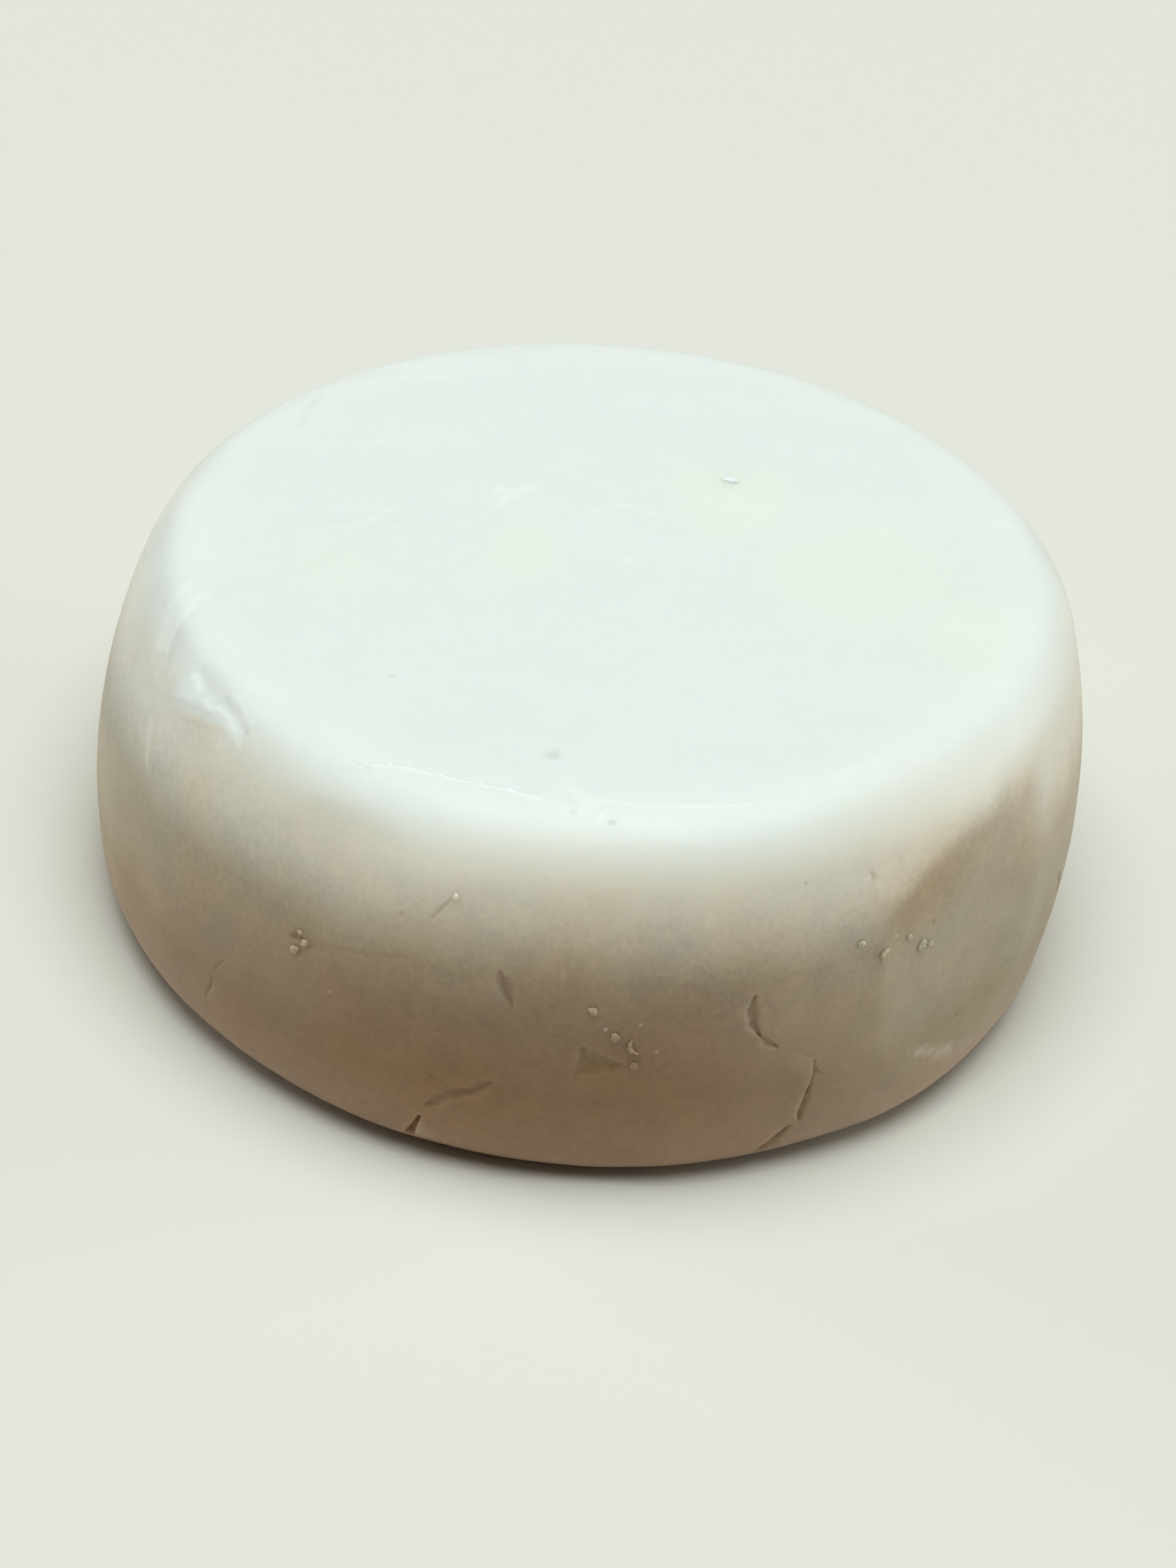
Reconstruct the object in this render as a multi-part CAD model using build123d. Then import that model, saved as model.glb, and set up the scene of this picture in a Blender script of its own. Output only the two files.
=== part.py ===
from build123d import *
import os
from math import asin, cos, degrees, radians, sin

# A puck of hard shaving soap, pressed by hand into a shallow mould and turned out on a flat surface.
# It is one mass of soap, and a few crumbs of the same soap cling to its wall and its top.
# Millimetres and degrees. +Z is up, and the origin is on the resting face, in the middle of the puck's box.

# The puck's size.
PUCK_DIAMETER = 68.0  # across the belly, on average
PUCK_HEIGHT = 28.0  # from the resting face to the middle of the top face
TOP_TILT = 2.5  # the top face rises towards +X, because the press was not level

# The wall bulges at the belly and leans in above and below it.
BELLY_HEIGHT = 11.0  # height of the widest level
SHOULDER_DRAW_IN = 3.4  # how far the wall has leant in where it meets the top face
FOOT_DRAW_IN = 1.1  # the same, where it meets the resting face
SHOULDER_RADIUS = 5.4  # rounding of the top edge
FOOT_RADIUS = 4.2  # rounding of the bottom edge

# A hand-pressed puck is not quite round: it has a slight oval, and three slight corners.
OVAL = 0.45  # how far the oval's ends stand out, along X
CORNER = 0.2  # how far the three corners stand out
CORNER_TURN = 18.0  # direction of the first corner, from +X towards +Y

# Resolution of the outline and of the wall.
OUTLINE_POINTS = 24
LEVELS_BELOW_BELLY = 2
LEVELS_ABOVE_BELLY = 3

# Crumbs that cling to the soap. Their places are shares of the puck's size, so they follow it.
CRUMB_SEAT = 0.3  # share of its radius that each crumb's middle lies outside the surface
SEARCH_START = 2.0  # how far beyond the puck's box the line that finds a crumb's place starts

# Crumbs on the wall: direction from +X towards +Y, share of the height, and radius.
WALL_CRUMBS = [
    (-121.3, 0.50, 0.35),
    (-121.1, 0.55, 0.22),
    (-120.1, 0.53, 0.30),
    (-103.0, 0.79, 0.25),
    (-85.8, 0.56, 0.30),
    (-83.0, 0.49, 0.32),
    (-81.3, 0.46, 0.40),
    (-80.5, 0.41, 0.28),
    (-54.1, 0.67, 0.28),
    (-51.0, 0.62, 0.42),
    (-46.4, 0.63, 0.28),
    (-43.8, 0.58, 0.40),
    (-42.2, 0.57, 0.26),
]

# Crumbs on the top face: direction, share of the puck's radius, and radius.
TOP_CRUMBS = [
    (56.9, 0.40, 0.40),
]


def wall_inset(height):
    """How far the wall has leant in from the belly at this height."""
    if height > BELLY_HEIGHT:
        rise = (height - BELLY_HEIGHT) / (PUCK_HEIGHT - BELLY_HEIGHT)
        return SHOULDER_DRAW_IN * rise**2
    drop = (BELLY_HEIGHT - height) / BELLY_HEIGHT
    return FOOT_DRAW_IN * drop**2


def outline_radius(direction, height):
    """Distance from the puck's axis to its wall, in this direction and at this height."""
    oval = OVAL * cos(radians(2 * direction))
    corners = CORNER * cos(radians(3 * (direction - CORNER_TURN)))
    return PUCK_DIAMETER / 2 + oval + corners - wall_inset(height)


def section(height):
    """The closed outline at one height, which leans a little more the nearer it is to the top."""
    points = []
    for index in range(OUTLINE_POINTS):
        direction = 360 * index / OUTLINE_POINTS
        reach = outline_radius(direction, height)
        points.append(Vector(reach * cos(radians(direction)), reach * sin(radians(direction))))
    flat = Wire([Edge.make_spline(points, periodic=True)])
    leaning = flat.rotate(Axis.Y, -TOP_TILT * height / PUCK_HEIGHT)
    return leaning.moved(Location((0, 0, height)))


def wall_levels():
    """Heights of the sections, from the resting face to the top face, with one at the belly."""
    below = [BELLY_HEIGHT * index / LEVELS_BELOW_BELLY for index in range(LEVELS_BELOW_BELLY)]
    rise = PUCK_HEIGHT - BELLY_HEIGHT
    above = [BELLY_HEIGHT + rise * index / LEVELS_ABOVE_BELLY for index in range(LEVELS_ABOVE_BELLY + 1)]
    return below + above


def make_soap_puck():
    """The whole mass of soap: a lofted wall, a rounded shoulder and a rounded foot."""
    blank = Solid.make_loft([section(height) for height in wall_levels()])
    top_edges = blank.faces().sort_by(Axis.Z)[-1].edges()
    shouldered = blank.fillet(SHOULDER_RADIUS, top_edges)
    foot_edges = shouldered.faces().sort_by(Axis.Z)[0].edges()
    rounded = shouldered.fillet(FOOT_RADIUS, foot_edges)
    middle = rounded.bounding_box().center()
    return rounded.moved(Location((-middle.X, -middle.Y, 0)))


def first_hit(solid, start, towards):
    """The point where a line first meets the solid, and the direction out of the soap there."""
    line = Axis(start, towards)
    hits = solid.find_intersection_points(line)
    point, normal = min(hits, key=lambda hit: (hit[0] - start).length)
    return point, normal if normal.dot(towards) < 0 else -normal


def make_crumb(puck, start, towards, radius):
    """A crumb as a small dome whose flat side lies on the soap where a line first meets it."""
    point, normal = first_hit(puck, start, towards)
    seat = Plane(origin=point + normal * radius * CRUMB_SEAT, z_dir=normal)
    return Solid.make_sphere(radius, seat, angle1=-degrees(asin(CRUMB_SEAT)))


def make_clinging_crumbs(puck):
    """Every crumb, each as a solid of its own."""
    box = puck.bounding_box()
    far = box.size.X / 2 + SEARCH_START
    crumbs = []
    for direction, share, radius in WALL_CRUMBS:
        outwards = Vector(cos(radians(direction)), sin(radians(direction)))
        start = outwards * far + Vector(0, 0, PUCK_HEIGHT * share)
        crumbs.append(make_crumb(puck, start, -outwards, radius))
    for direction, share, radius in TOP_CRUMBS:
        outwards = Vector(cos(radians(direction)), sin(radians(direction)))
        start = outwards * PUCK_DIAMETER / 2 * share + Vector(0, 0, box.max.Z + SEARCH_START)
        crumbs.append(make_crumb(puck, start, Vector(0, 0, -1), radius))
    return Compound(crumbs)


os.makedirs("parts", exist_ok=True)
soap_puck = make_soap_puck()
clinging_crumbs = make_clinging_crumbs(soap_puck)
export_step(soap_puck, "parts/soap_puck.step")
export_step(clinging_crumbs, "parts/clinging_crumbs.step")
print("soap puck volume", round(soap_puck.volume / 1000, 2), "cubic centimetres")
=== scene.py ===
import math
import random
from dataclasses import dataclass

import bmesh
import bpy
import numpy as np
from mathutils import Matrix, Vector, noise
from mathutils.bvhtree import BVHTree


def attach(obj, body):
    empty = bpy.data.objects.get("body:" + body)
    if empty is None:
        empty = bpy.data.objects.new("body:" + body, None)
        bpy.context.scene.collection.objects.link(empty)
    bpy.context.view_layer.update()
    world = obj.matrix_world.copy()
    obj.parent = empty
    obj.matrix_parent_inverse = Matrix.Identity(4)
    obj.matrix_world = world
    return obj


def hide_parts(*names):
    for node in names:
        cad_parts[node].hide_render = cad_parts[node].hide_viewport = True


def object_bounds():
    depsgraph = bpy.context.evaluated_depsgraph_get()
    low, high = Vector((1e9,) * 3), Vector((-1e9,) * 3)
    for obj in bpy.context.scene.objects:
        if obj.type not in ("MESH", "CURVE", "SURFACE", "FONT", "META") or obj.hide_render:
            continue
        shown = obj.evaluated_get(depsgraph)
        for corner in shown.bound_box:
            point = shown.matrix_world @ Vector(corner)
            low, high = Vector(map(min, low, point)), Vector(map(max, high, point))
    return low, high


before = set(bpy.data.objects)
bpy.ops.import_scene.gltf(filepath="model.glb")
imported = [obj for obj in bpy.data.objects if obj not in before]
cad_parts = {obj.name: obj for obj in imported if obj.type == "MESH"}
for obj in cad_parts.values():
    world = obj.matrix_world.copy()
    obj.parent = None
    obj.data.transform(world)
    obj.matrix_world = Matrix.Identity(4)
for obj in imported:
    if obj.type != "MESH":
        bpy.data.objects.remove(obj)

bl_info = {
    "name": "Shaving Soap Puck",
    "version": (1, 0, 0),
    "blender": (4, 5, 0),
    "location": "View3D > Sidebar > Soap",
    "description": "Dresses the CAD frame of a hand-pressed shaving soap puck",
    "category": "Add Mesh",
}

MM = 0.001  # the scene is in metres
CAD_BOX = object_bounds()
CAD_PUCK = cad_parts["soap_puck"]
CAD_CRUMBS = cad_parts["clinging_crumbs"]
SOAP_VALUES = ("hollow", "pale", "stain", "level", "painted_light_and_shade", "painted_warmth", "gloss")  # one of each on every vertex
CRUMB_SHARE = 0.85  # a crumb's radius as a share of its CAD dome's, which leaves room for its lumps
CAMERA_TARGET = (0.23 * MM, 0, 8.84 * MM)
FLOOR_RADIUS = 3.0
FLOOR_GAP = 0.02 * MM  # keeps the floor clear of the resting face

# Settings that several shader nodes share. A colour mix takes its share at input 0 and its colours at 6
# and 7, and gives its result at output 2.
COLOUR_MIX = {"data_type": "RGBA"}
ADD = {"operation": "ADD"}
MULTIPLY = {"operation": "MULTIPLY"}
MULTIPLY_ADD = {"operation": "MULTIPLY_ADD"}
SCALE = {"operation": "SCALE"}


# Marks on the soap. Every size here is in millimetres, and every direction in degrees from +X towards +Y.

END_RUN = 1.5  # how many points of a line it takes for its sides to fade in or out
RAGGEDNESS = 0.22  # how far the edge of a cut strays, as a share of its half width
DARK_DEPTH = 0.16  # a cut this deep gets as much painted shade inside as any
PALE_RISE = 0.15  # a ridge this high gets as much painted highlight as any
PALE_LIP = 0.5  # a lip beside a cut this high is as pale as any


@dataclass
class Mark:
    """One mark along a line on the soap: a crack, a crease, a ridge, a step, a bend, a tint or a smear.

    On the wall a point is (direction, height), and on the top or the shoulder it is (x, y).
    Left and right are as seen from outside, looking along the line."""

    face: str
    points: tuple
    half_widths: tuple  # of the cut, at each point
    depth: float = 0.0  # of the cut, or how far a ridge stands up if it is negative
    left: float = 0.0  # how far the surface beside the line stands up, on its left
    right: float = 0.0
    reach: float = 1.0  # how far from the line that takes to fall back
    grain: float = 0.0  # height of the rough grain inside the cut's width
    gloss: float = 0.0  # how much the press polished it


CRACKS = [
    # a torn, lens-shaped hollow in the middle of the front wall, with a lip on its left
    Mark("wall", ((-67.3, 16.4), (-67.5, 15.4), (-67.2, 14.2), (-66.2, 13.2)), (0.2, 0.5, 0.45, 0.15),
         depth=0.2, right=0.1, reach=0.8),
    Mark("wall", ((-66.2, 13.2), (-65.0, 12.4), (-63.9, 12.0)), (0.15, 0.42, 0.15), depth=0.14,
         right=0.04, reach=0.7),
    # a hair-thin crack from there to the next one
    Mark("wall", ((-64.2, 12.1), (-62.4, 11.5), (-60.4, 11.0), (-58.9, 10.2), (-58.6, 9.4)), (0.14,) * 5,
         depth=0.02, right=0.02),
    # a crack that runs down to the foot, with a lip on its left
    Mark("wall", ((-58.6, 10.0), (-58.4, 9.2), (-58.6, 8.3), (-58.7, 7.3)), (0.1, 0.24, 0.2, 0.22),
         depth=0.12, right=0.08, reach=0.7),
    Mark("wall", ((-58.7, 7.6), (-58.9, 6.5), (-59.1, 5.5), (-58.9, 4.7)), (0.15, 0.4, 0.44, 0.2),
         depth=0.24, right=0.12, reach=0.8),
    Mark("wall", ((-58.5, 9.1), (-57.6, 8.9)), (0.18, 0.1), depth=0.08),
    # a chip out of the foot, under that crack
    Mark("wall", ((-60.2, 4.2), (-61.0, 3.5), (-62.0, 2.7), (-62.8, 2.0)), (0.15, 0.45, 0.6, 0.7),
         depth=0.35),
    # a notch with a pale lower lip
    Mark("wall", ((-96.7, 17.6), (-96.2, 16.9), (-95.6, 16.1), (-94.9, 15.3)), (0.25, 0.6, 0.45, 0.15),
         depth=0.14, right=0.1, reach=1.0),
    # a three-cornered pit, under the crumbs
    Mark("wall", ((-86.4, 12.4), (-85.5, 11.6), (-83.8, 11.5), (-82.2, 11.3)), (0.4, 1.15, 0.8, 0.3),
         depth=0.2),
    Mark("wall", ((-86.8, 10.6), (-85.6, 11.3)), (0.4, 1.0), depth=0.12),
    # a shallow crack low on the front, and a faint branch of it
    Mark("wall", ((-103.1, 5.6), (-102.3, 6.0), (-101.0, 6.9), (-99.6, 7.3), (-98.2, 7.6), (-97.0, 8.3),
                  (-96.2, 8.7)),
         (0.25, 0.55, 0.5, 0.5, 0.35, 0.5, 0.2), depth=0.16, right=0.05),
    Mark("wall", ((-103.4, 8.4), (-101.6, 8.0), (-100.4, 7.4)), (0.1, 0.2, 0.15), depth=0.04),
    # a nick in the foot, where two pressed parts of it meet
    Mark("wall", ((-104.0, 4.2), (-104.4, 3.4), (-105.0, 2.5), (-105.4, 1.7)), (0.1, 0.2, 0.32, 0.36),
         depth=0.6, left=0.14, reach=2.2),
    # a thin slanting crack under the shoulder
    Mark("wall", ((-105.4, 20.3), (-104.4, 21.2), (-103.5, 21.9)), (0.1, 0.24, 0.16), depth=0.07,
         left=0.04),
    # a pit with crumbs in it, and the faint crease that leaves it
    Mark("wall", ((-121.8, 14.9), (-121.2, 15.1), (-120.4, 15.0)), (0.3, 0.42, 0.2), depth=0.14),
    Mark("wall", ((-120.0, 14.7), (-116.5, 15.6), (-111.8, 16.2), (-107.4, 17.0)), (0.2, 0.4, 0.35, 0.15),
         depth=0.03, left=0.04, reach=1.5),
    # small cracks low on the left
    Mark("wall", ((-131.4, 9.5), (-132.4, 8.6), (-132.8, 8.2)), (0.12, 0.28, 0.14), depth=0.07),
    Mark("wall", ((-133.1, 7.4), (-133.4, 6.4), (-134.5, 5.2)), (0.1, 0.26, 0.12), depth=0.07, left=0.05),
    # a pit under the right shoulder
    Mark("wall", ((-52.9, 23.7), (-52.6, 23.3)), (0.25, 0.3), depth=0.09, right=0.05, reach=0.6),
    # small tears and cracks round the back
    Mark("wall", ((28.0, 13.0), (29.4, 12.2), (30.0, 10.8), (31.6, 9.8)), (0.15, 0.42, 0.36, 0.1),
         depth=0.16, left=0.1, reach=0.8),
    Mark("wall", ((74.0, 8.0), (76.0, 7.4), (78.6, 7.6), (80.8, 6.8)), (0.12, 0.4, 0.3, 0.1), depth=0.09,
         right=0.05),
    Mark("wall", ((118.0, 17.8), (118.6, 16.4), (120.0, 15.4)), (0.12, 0.46, 0.14), depth=0.15, right=0.1,
         reach=0.8),
    Mark("wall", ((152.6, 6.6), (153.4, 5.2), (153.0, 3.9), (153.8, 2.6)), (0.1, 0.3, 0.4, 0.4),
         depth=0.24, left=0.12),
    Mark("wall", ((-172.0, 14.6), (-170.4, 14.0), (-168.8, 14.4)), (0.12, 0.32, 0.12), depth=0.07),
    Mark("wall", ((-14.0, 12.8), (-12.8, 11.6), (-12.6, 10.2)), (0.12, 0.36, 0.14), depth=0.12, left=0.08,
         reach=0.8),
]

FOLDS = [
    # a flap of soap smeared over the left shoulder, with a raised free edge
    Mark("top", ((-28.2, -15.4), (-27.5, -16.3), (-26.7, -17.3), (-25.8, -18.2), (-25.2, -18.8),
                 (-24.6, -19.3), (-23.8, -19.9), (-23.5, -20.6), (-23.3, -21.0), (-22.9, -21.6)),
         (0.7, 0.7, 0.8, 0.8, 0.7, 0.7, 0.6, 0.5, 0.45, 0.4), left=0.15, right=-0.05, reach=1.8,
         depth=0.01),
    # the ridge at its right end
    Mark("top", ((-24.3, -18.8), (-23.5, -19.9), (-23.0, -20.8), (-22.7, -21.5)), (0.4, 0.6, 0.6, 0.4),
         depth=-0.08),
    # the crease behind it, wide and soft at its upper end
    Mark("top", ((-25.9, -15.2), (-24.9, -16.8), (-23.9, -18.3), (-23.2, -19.5)), (0.5, 1.2, 1.1, 0.5),
         depth=0.1),
    Mark("top", ((-24.0, -18.2), (-23.3, -19.4), (-22.7, -20.3), (-22.3, -21.1)), (0.3, 0.6, 0.6, 0.35),
         depth=0.12),
    # the long curved step over the left shoulder
    Mark("top", ((-25.2, -7.4), (-26.8, -9.0), (-27.4, -10.1), (-27.9, -10.9), (-28.2, -11.8),
                 (-28.3, -12.9), (-28.6, -13.8)),
         (0.8, 0.7, 0.6, 0.5, 0.5, 0.5, 0.5), depth=0.03, right=0.16, left=-0.08, reach=1.8),
    # a hair-thin scratch
    Mark("top", ((-23.0, -18.0), (-22.7, -17.5), (-22.1, -17.4)), (0.1, 0.12, 0.08), depth=0.04),
    # the fine ridge that the press left along the front of the top, painted pale along it as a painted glint
    Mark("top", ((-15.4, -24.6), (-14.6, -25.0), (-13.8, -25.0), (-13.1, -25.0), (-12.4, -25.0),
                 (-11.4, -25.2), (-10.2, -25.5), (-9.6, -25.7), (-9.1, -25.8), (-8.2, -26.0),
                 (-7.2, -26.2), (-6.5, -26.4), (-5.6, -26.5), (-4.7, -26.6), (-3.8, -26.9),
                 (-2.8, -27.2)),
         (0.12, 0.24, 0.16, 0.28, 0.14, 0.2, 0.24, 0.14, 0.3, 0.12, 0.16, 0.3, 0.12, 0.22, 0.12, 0.16),
         depth=-0.06, left=-0.06, reach=1.2, gloss=1.0),
    # the scuffed strip that crosses the shoulder beside it
    Mark("top", ((-1.2, -25.8), (0.6, -27.2), (1.8, -28.4)), (0.8, 1.0, 0.8), grain=0.035),
    Mark("top", ((-4.6, -26.8), (-1.6, -27.8), (1.2, -28.0)), (0.4, 0.6, 0.5), grain=0.03),
    # thin ridges further along the rim
    Mark("top", ((0.4, -26.8), (3.4, -26.9), (6.2, -26.6), (8.4, -26.2), (10.7, -25.5)),
         (0.2, 0.3, 0.25, 0.3, 0.15), depth=-0.03),
    Mark("top", ((15.8, -21.8), (17.4, -20.6), (18.9, -19.3)), (0.15, 0.25, 0.12), depth=-0.03),
    # a faint, wide crease from the left rim towards the middle
    Mark("top", ((-27.9, -7.7), (-23.7, -6.2), (-20.5, -4.4), (-17.0, 1.0), (-14.5, 3.2)),
         (0.6, 0.9, 0.9, 1.0, 0.5), depth=0.022, left=0.015, reach=2.0),
    # creases on the far rim
    Mark("top", ((-23.2, 13.2), (-23.0, 15.4), (-22.2, 17.6)), (0.4, 0.7, 0.3), depth=0.05, left=0.04),
    Mark("top", ((6.0, 27.6), (10.4, 26.4), (13.6, 24.4)), (0.2, 0.4, 0.15), depth=0.05, right=0.05),
]

BENDS = [
    # where the right of the wall turns from one pressed flat to the next
    Mark("wall", ((-63.0, 19.8), (-51.8, 20.7), (-47.6, 21.4), (-44.8, 22.7), (-41.5, 23.5),
                  (-37.9, 24.0), (-33.4, 24.3), (-29.0, 24.3)),
         (0.7,) * 8, left=0.3, right=0.3, reach=2.8),
    # a low swell of the foot on the right
    Mark("wall", ((-62.0, 2.8), (-50.0, 3.2), (-38.0, 3.4), (-26.0, 3.2)), (2.2,) * 4, left=0.22,
         right=0.22, reach=3.0),
    Mark("wall", ((-66.0, 12.0), (-62.0, 11.4), (-59.2, 9.8), (-59.4, 6.0), (-61.8, 4.2)), (0.8,) * 5,
         left=0.08, right=0.1, reach=3.2),
    Mark("wall", ((-104.2, 6.0), (-103.8, 9.0), (-101.0, 12.4)), (1.2,) * 3, left=0.08, right=0.0,
         reach=3.4),
    Mark("wall", ((150.0, 19.0), (160.0, 20.6), (172.0, 20.0)), (0.9,) * 3, left=0.2, right=0.2,
         reach=3.0),
    Mark("wall", ((60.0, 20.2), (72.0, 19.4), (84.0, 20.6)), (0.9,) * 3, left=0.2, right=0.2, reach=3.0),
]

SHADE_LINES = [
    # the soap on the right of the line gets more of the wall's painted shade, or less if the depth is
    # negative: the depth is how much, as a share of the puck's height, and the first half width is how softly
    # it starts
    # painted shade on the pressed flat below the bend on the right, which faces away from the light
    Mark("wall", ((-53.0, 19.6), (-50.0, 20.5), (-47.6, 21.4), (-44.8, 22.7), (-41.5, 23.5),
                  (-37.9, 24.0), (-33.4, 24.3), (-29.0, 24.5), (-24.0, 24.6), (-19.0, 24.6)),
         (1.6,) * 10, depth=0.14, reach=5.0),
    # the flap's pale side, lifted out of the shoulder's painted shade, and a painted shadow below its free
    # edge
    Mark("top", ((-22.6, -21.9), (-23.3, -21.0), (-23.8, -19.9), (-24.6, -19.3), (-25.2, -18.8),
                 (-25.8, -18.2), (-26.7, -17.3), (-27.5, -16.3), (-28.2, -15.4)),
         (0.5,) * 9, depth=-0.11, reach=2.4),
    Mark("top", ((-27.5, -16.3), (-26.7, -17.3), (-25.8, -18.2), (-25.2, -18.8), (-24.6, -19.3),
                 (-23.8, -19.9), (-23.3, -21.0)),
         (0.5,) * 7, depth=0.05, reach=1.8),
]

SMEARS = [
    # soap wiped over the surface, paler than what is under it: the depth is how pale, from 0 to 1
    Mark("top", ((-26.4, -15.6), (-25.6, -17.2), (-24.4, -18.8), (-23.2, -20.6)), (0.7, 0.9, 0.9, 0.5),
         depth=0.8),
    Mark("top", ((-28.2, -7.0), (-29.0, -9.6), (-29.4, -12.4)), (0.8, 1.2, 0.9), depth=0.5),
    Mark("top", ((-29.8, -11.5), (-29.4, -12.7), (-28.9, -13.8)), (0.6, 0.7, 0.5), depth=0.6),
    Mark("wall", ((-153.4, 20.6), (-152.2, 19.2), (-150.1, 17.5)), (0.5, 0.6, 0.4), depth=0.5),
    Mark("top", ((-20.1, 19.7), (-16.4, 21.0), (-12.0, 21.4)), (0.3, 0.5, 0.2), depth=0.5),
    Mark("top", ((-8.9, 7.4), (-7.4, 7.7), (-5.6, 8.3)), (0.15, 0.4, 0.15), depth=0.9),
    Mark("top", ((-19.6, 1.2), (-17.2, 1.3), (-14.8, 1.7)), (0.2, 0.45, 0.2), depth=0.7),
    Mark("top", ((0.4, 0.0), (1.0, 0.4)), (0.3, 0.3), depth=0.8),
    Mark("top", ((-15.0, 12.6), (-13.4, 13.4)), (0.3, 0.4), depth=0.5),
    Mark("top", ((4.0, -12.0), (10.0, -11.0), (15.0, -8.4)), (0.4, 0.9, 0.3), depth=0.3),
    Mark("top", ((-1.0, -25.4), (0.8, -27.0), (1.8, -28.2)), (0.9, 1.1, 0.7), depth=0.35),
    # palm streaks over the top
    Mark("top", ((-8.8, 4.8), (-7.3, 7.5), (-5.4, 9.1)), (0.3, 0.6, 0.25), depth=0.8),
    Mark("top", ((-17.8, 1.4), (-15.3, 4.3)), (0.5, 0.4), depth=0.6),
    Mark("top", ((-2.3, 5.8), (0.4, 6.9), (3.3, 6.1)), (0.3, 0.6, 0.3), depth=0.6),
    Mark("top", ((0.4, 2.6), (0.6, -1.0)), (0.25, 0.25), depth=0.7),
    Mark("top", ((-18.2, 11.5), (-13.7, 14.9)), (0.4, 0.3), depth=0.5),
    Mark("wall", ((-44.0, 7.4), (-38.0, 5.8), (-31.0, 4.2)), (0.4, 0.8, 0.3), depth=0.4),
    Mark("wall", ((-52.0, 22.9), (-51.4, 22.3), (-50.4, 21.9)), (0.3, 0.5, 0.3), depth=0.5),
]

PITS = [
    # (face, place, radius, depth): small hollows and burst bubbles, and beads where the depth is negative. A
    # hollow gets painted shade, and a bead is painted pale as a painted glint
    ("top", (-14.0, -25.0), 0.26, -0.15),
    ("top", (-12.6, -24.9), 0.22, -0.14),
    ("top", (-11.2, -25.2), 0.14, -0.09),
    ("top", (-9.1, -25.8), 0.26, -0.15),
    ("top", (-6.5, -26.4), 0.24, -0.15),
    ("top", (-4.7, -26.6), 0.15, -0.1),
    ("wall", (-84.2, 14.3), 0.18, -0.08),
    ("wall", (-80.4, 14.8), 0.14, -0.06),
    ("wall", (-78.2, 12.6), 0.16, -0.07),
    ("wall", (-49.0, 18.4), 0.18, -0.07),
    ("wall", (-46.8, 17.4), 0.15, -0.06),
    ("wall", (-57.0, 20.6), 0.14, -0.06),
    ("wall", (-116.0, 12.2), 0.15, -0.06),
    ("top", (-2.2, -22.4), 0.75, 0.16),
    ("top", (-13.4, -15.4), 0.35, 0.16),
    ("top", (-0.4, -27.9), 0.3, 0.08),
    ("top", (2.1, -28.5), 0.3, 0.1),
    ("top", (-2.4, -27.5), 0.22, 0.07),
    ("wall", (-61.8, 24.1), 0.22, 0.08),
    ("wall", (-109.0, 19.9), 0.25, 0.09),
    ("wall", (-42.1, 17.6), 0.3, 0.1),
    ("wall", (-71.4, 15.2), 0.22, 0.08),
    ("wall", (-36.0, 8.0), 0.3, 0.08),
    ("wall", (46.0, 17.2), 0.35, 0.14),
    ("wall", (96.0, 12.6), 0.3, 0.12),
    ("wall", (139.0, 9.0), 0.35, 0.12),
]

FLATS = [
    # (direction, height, depth of the pressed flat, tilt of it towards the top, in degrees)
    (-38.0, 19.4, 0.8, -6.0),
    (-56.0, 17.0, 0.3, -4.0),
    (-118.0, 19.0, 0.22, 4.0),
    (-150.0, 10.0, 0.24, -2.0),
    (-84.0, 7.5, 0.16, -4.0),
    (-62.0, 8.0, 0.1, 0.0),
    (12.0, 9.0, 0.24, -3.0),
    (58.0, 15.0, 0.3, 3.0),
    (104.0, 8.0, 0.22, -4.0),
    (148.0, 15.0, 0.3, 2.0),
]

PAINTED_LIGHT_PATCHES = [
    # (direction, height, half width in degrees, half height, how much paler, how much browner): painted light
    # and painted shade on the wall, paler where light falls and darker and browner where shade and warm
    # bounce light fall
    (-40.0, 20.5, 10.0, 3.2, -0.12, 0.6),
    (-34.0, 9.5, 23.0, 7.5, 0.36, -0.85),
    (-72.0, 17.5, 10.0, 4.0, -0.12, 0.2),
    (-92.0, 13.0, 26.0, 5.5, -0.25, 0.9),
    (-98.0, 7.0, 26.0, 5.0, -0.02, 0.8),
    (-160.0, 18.0, 20.0, 6.0, 0.0, -0.4),
    (-100.0, 24.0, 28.0, 3.0, 0.1, 0.0),
    (-166.0, 9.5, 16.0, 4.5, 0.5, -0.5),
    (-164.0, 25.0, 34.0, 2.4, -0.22, 0.0),
    (-12.0, 26.5, 34.0, 2.6, -0.12, 0.0),
    (90.0, 27.0, 62.0, 3.2, -0.26, 0.0),
    (30.0, 8.0, 16.0, 4.0, 0.12, -0.5),
    (75.0, 14.0, 18.0, 4.0, -0.12, 0.6),
    (125.0, 9.0, 16.0, 4.0, 0.1, -0.3),
]

STAINS = [
    # (x, y, radius): cream stains on the top
    (17.0, 1.0, 9.0),
    (8.0, 9.0, 6.0),
    (24.0, -5.0, 5.0),
    (-6.4, 0.4, 3.4),
    (-18.4, -3.2, 4.2),
]

LIGHTS = [
    # (name, direction, elevation, softness, strength, colour)
    ("overhead", -90, 84, 50, 3.0, "F6FFFC"),
    ("from_the_right", 14, 9, 40, 1.35, "FAFFFA"),
    ("from_the_left", 162, 9, 40, 1.25, "FAFFFA"),
]


def linear(code):
    """An sRGB hex colour as linear red, green and blue."""
    shares = [int(code[start : start + 2], 16) / 255 for start in (0, 2, 4)]
    return tuple(s / 12.92 if s <= 0.04045 else ((s + 0.055) / 1.055) ** 2.4 for s in shares)


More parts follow.
